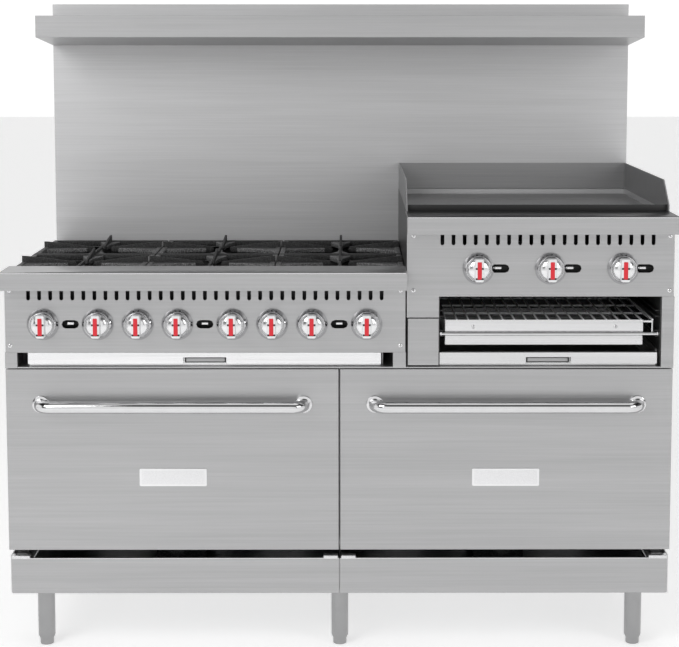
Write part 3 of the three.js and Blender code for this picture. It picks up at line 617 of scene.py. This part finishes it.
def make_trim():
    """Facings under 1 mm thick on the rails and trough, painted dark as shade and reflection; black backs in
    the trays' finger notches and a dark sheet over each tray floor, painted shade; hinge covers; bright
    strips on folded edges, painted highlights; and pilot tubes."""
    wall = np.array(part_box("griddle_plate")[0]) / MM
    rail = np.array(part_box("front_rail_right")) / MM
    low = np.array(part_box("front_rail_left")) / MM
    # The trough lip and the griddle rail's top get near-black facings, and the cooktop rail's top a dimmed
    # one: painted shade and dark reflection.
    lip = rounded(158.5, 756, rail[1][2] + FACING, 1034.5, 1.5)
    griddle_top = rounded(154, 761, rail[0][1] + 1.5, -278, 1)
    cooktop_top = rounded(-761, 150, low[0][1] + 1.5, -294, 1)
    shapes = [
        (slab(lip, wall[1] - 0.8, wall[1] - 0.1, 0.2, "y"), "trough"),
        (slab(griddle_top, rail[1][2], rail[1][2] + FACING, 0.1, "z"), "trough"),
        (slab(cooktop_top, low[1][2], low[1][2] + FACING, 0.1, "z"), "stainless_dim"),
    ]
    piece("rail_top_facings", "range_body", shapes)
    for tray, x0, x1 in (("crumb_tray", -352.5, -258.5), ("broiler_tray", 426.5, 524.5)):
        floor = np.array(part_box(tray)) / MM
        shade = rounded(x0, x1, 680, 694, 1)
        floor_shade_sheet = rounded(floor[0][0] + 6, floor[1][0] - 6, -346, 334, 3)
        # Painted shade: a black back in each finger notch with a dimmed grey slab in front of it, and a dark
        # enamel sheet over the tray floor.
        shapes = [
            (slab(shade, -353.0, -352.5, 0.1, "y"), "black"),
            (slab(rounded(x0 + 3, x1 - 3, 682, 690, 1), -353.6, -353.0, 0.1, "y"), "stainless_dim"),
            (slab(floor_shade_sheet, 675.2, 675.8, 0.1, "z"), "enamel"),
        ]
        piece(tray + "_shading", tray + "_sliding", shapes)
    covers = []
    for x0, x1 in HINGE_COVERS:
        covers.append((slab(rounded(x0, x1, -362, -342, 1), 222.4, 230.4, 0.8, "z"), "front"))
    piece("hinge_covers", "range_body", covers)
    # Thin bright strips along the top edges of the kick plates and rails: painted highlights.
    edges = [
        (slab(rounded(-755, -2, 220.6, 222.1, 0.3, 2), -353.3, -353.0, 0.05, "y", 2), "bright"),
        (slab(rounded(2, 755, 220.6, 222.1, 0.3, 2), -353.3, -353.0, 0.05, "y", 2), "bright"),
        (slab(rounded(-761, 150, 892.4, 894.1, 0.3, 2), -419.3, -419.0, 0.05, "y", 2), "bright"),
        (slab(rounded(154, 761, 1017.4, 1019.1, 0.3, 2), -419.3, -419.0, 0.05, "y", 2), "bright"),
    ]
    piece("painted_edge_highlights", "range_body", edges)
    tubes = []
    for x, z in PILOT_HOLES:
        tubes.append((bar_line((x - 7, -362, z + 1), (x + 7, -362, z + 1), 5, 14), "bright"))
    piece("pilot_tubes", "range_body", tubes)


# The studio

def make_floor():
    size = FLOOR_HALF
    corners = [(-size, -size, 0), (size, -size, 0), (size, size, 0), (-size, size, 0)]
    mesh = bpy.data.meshes.new("floor")
    mesh.from_pydata(corners, [], [(0, 1, 2, 3)])
    pale = moulded("floor_pale", (0.93, 0.93, 0.93), 0.6)
    shader = pale.node_tree.nodes["Principled BSDF"]
    shader.inputs["Emission Color"].default_value = (1, 1, 1, 1)
    shader.inputs["Emission Strength"].default_value = FLOOR_GLOW
    mesh.materials.append(pale)
    floor = bpy.data.objects.new("floor", mesh)
    scene.collection.objects.link(floor)


def grey_ramp(tree, value, stops):
    """A ramp of greys over a varying value, from (position, level) stops."""
    ramp = tree.nodes.new("ShaderNodeValToRGB")
    tree.links.new(value, ramp.inputs[0])
    for _ in stops[1:-1]:
        ramp.color_ramp.elements.new(0.5)
    for stop, (position, level) in zip(ramp.color_ramp.elements, stops):
        stop.position = position
        stop.color = (level, level, level, 1)
    return ramp.outputs[0]


def make_world():
    """A bright studio: white round the horizon and overhead. A dark band lies between them, tilted a
    little, and two dark panels stand to each side. They draw the dark lines along polished tubes."""
    world = bpy.data.worlds.new("studio")
    scene.world = world
    world.use_nodes = True
    tree = world.node_tree
    background = tree.nodes["Background"]
    direction = tree.nodes.new("ShaderNodeTexCoord").outputs["Generated"]
    tilt = tree.nodes.new("ShaderNodeMapping")
    tilt.inputs["Rotation"].default_value = (0, math.radians(-12), 0)
    tree.links.new(direction, tilt.inputs["Vector"])
    tilted = tree.nodes.new("ShaderNodeSeparateXYZ")
    tree.links.new(tilt.outputs[0], tilted.inputs[0])
    band = ((0.0, 1.0), (0.38, 0.95), (0.46, 0.12), (0.84, 0.12), (0.93, 1.0))
    tree.links.new(grey_ramp(tree, tilted.outputs["Z"], band), background.inputs["Color"])
    straight = tree.nodes.new("ShaderNodeSeparateXYZ")
    tree.links.new(direction, straight.inputs[0])
    sideways = tree.nodes.new("ShaderNodeMath")
    sideways.operation = "ABSOLUTE"
    tree.links.new(straight.outputs["X"], sideways.inputs[0])
    panels = ((0.0, 1.0), (0.46, 1.0), (0.54, 0.12), (0.8, 0.12), (0.9, 1.0))
    power = tree.nodes.new("ShaderNodeMath")
    power.operation = "MULTIPLY"
    tree.links.new(grey_ramp(tree, sideways.outputs[0], panels), power.inputs[0])
    power.inputs[1].default_value = WORLD_LIGHT
    tree.links.new(power.outputs[0], background.inputs["Strength"])


scene.view_settings.view_transform = "Standard"
add_camera()
make_world()
make_floor()
add_light("key_softbox", (-2.6, -3.4, 3.2), (0, 0, 0.8), (2.4, 2.4), 75)
add_light("fill_softbox", (3.0, -3.0, 2.0), (0, 0, 0.7), (2.0, 2.0), 25)
paint_nodes()
for name in sorted(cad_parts):
    if "_knob_" in name:
        make_knob(name)
    if name.startswith("leg_"):
        make_leg(name)
    if name.startswith("grate_"):
        make_grate(name)
for hand in HANDS:
    make_handle(hand)
    make_badge(hand)
    make_oven_rack(hand)
make_broiler_rack()
make_screws()
make_trim()
